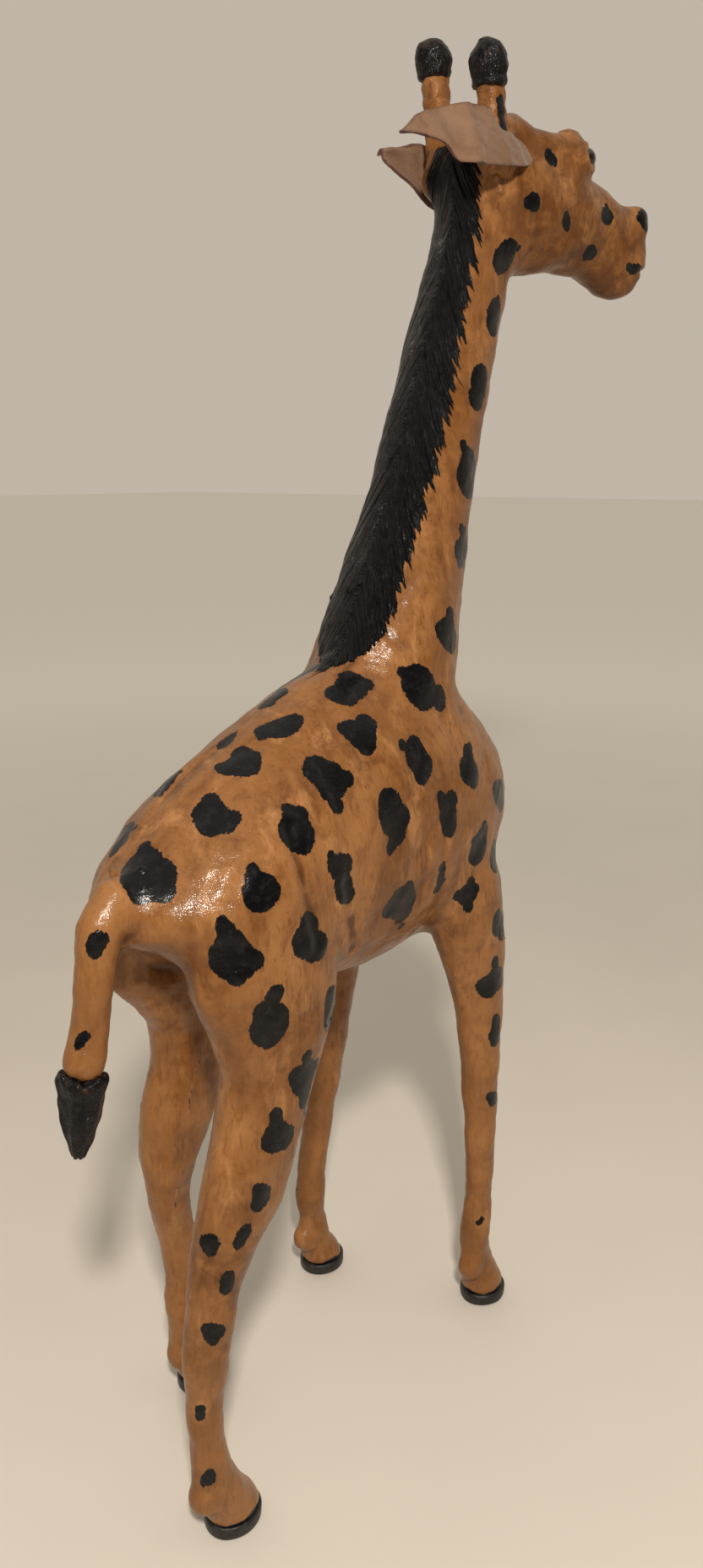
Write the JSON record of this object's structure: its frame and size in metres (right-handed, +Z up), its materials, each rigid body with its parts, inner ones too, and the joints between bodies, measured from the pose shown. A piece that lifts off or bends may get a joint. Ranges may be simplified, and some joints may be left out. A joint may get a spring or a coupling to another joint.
{
  "type": "giraffe statue",
  "caption": "Standing giraffe statue with a turned head, leather over carved wooden cores, painted spots, loose leather ears, knobbed horns and a hanging tail.",
  "frame": {"origin": "on the floor, under the middle of the statue's bounding box", "axes": "+Z up, the giraffe faces -Y and its right side is towards -X"},
  "size_m": [0.1352, 0.4648, 0.7705],
  "materials": {
    "tan_leather": "oiled and waxed, semi-gloss, with black paint spots",
    "raw_leather": "undyed flesh side, matt",
    "black_leather": "black paint, satin",
    "black_sole": "black paint, satin",
    "carved_wood": "carved and sanded, bare",
    "peg_wood": "bare",
    "eye_glass": "glossy dark",
    "steel_wire": "bright drawn wire"
  },
  "bodies": {
    "root": {"front_right_leg_leather": "tan_leather", "front_right_leg_core": "carved_wood", "front_right_leg_peg": "peg_wood", "front_right_sole": "black_sole", "front_left_leg_leather": "tan_leather", "front_left_leg_core": "carved_wood", "front_left_leg_peg": "peg_wood", "front_left_sole": "black_sole", "hind_right_leg_leather": "tan_leather", "hind_right_leg_core": "carved_wood", "hind_right_leg_peg": "peg_wood", "hind_right_sole": "black_sole", "hind_left_leg_leather": "tan_leather", "hind_left_leg_core": "carved_wood", "hind_left_leg_peg": "peg_wood", "hind_left_sole": "black_sole", "neck_leather": "tan_leather", "neck_core": "carved_wood", "head_leather": "tan_leather", "head_core": "carved_wood", "torso_leather": "tan_leather", "torso_core": "carved_wood", "belly_leather": "tan_leather", "neck_peg": "peg_wood", "head_peg": "peg_wood", "tail_leather": "tan_leather", "tail_core": "carved_wood", "tail_wire": "steel_wire", "tail_tuft": "black_leather", "right_horn": "tan_leather", "right_horn_peg": "peg_wood", "right_horn_tip": "black_leather", "right_ear": "raw_leather", "right_eye": "eye_glass", "left_horn": "tan_leather", "left_horn_peg": "peg_wood", "left_horn_tip": "black_leather", "left_ear": "raw_leather", "left_eye": "eye_glass"}
  },
  "joints": []
}
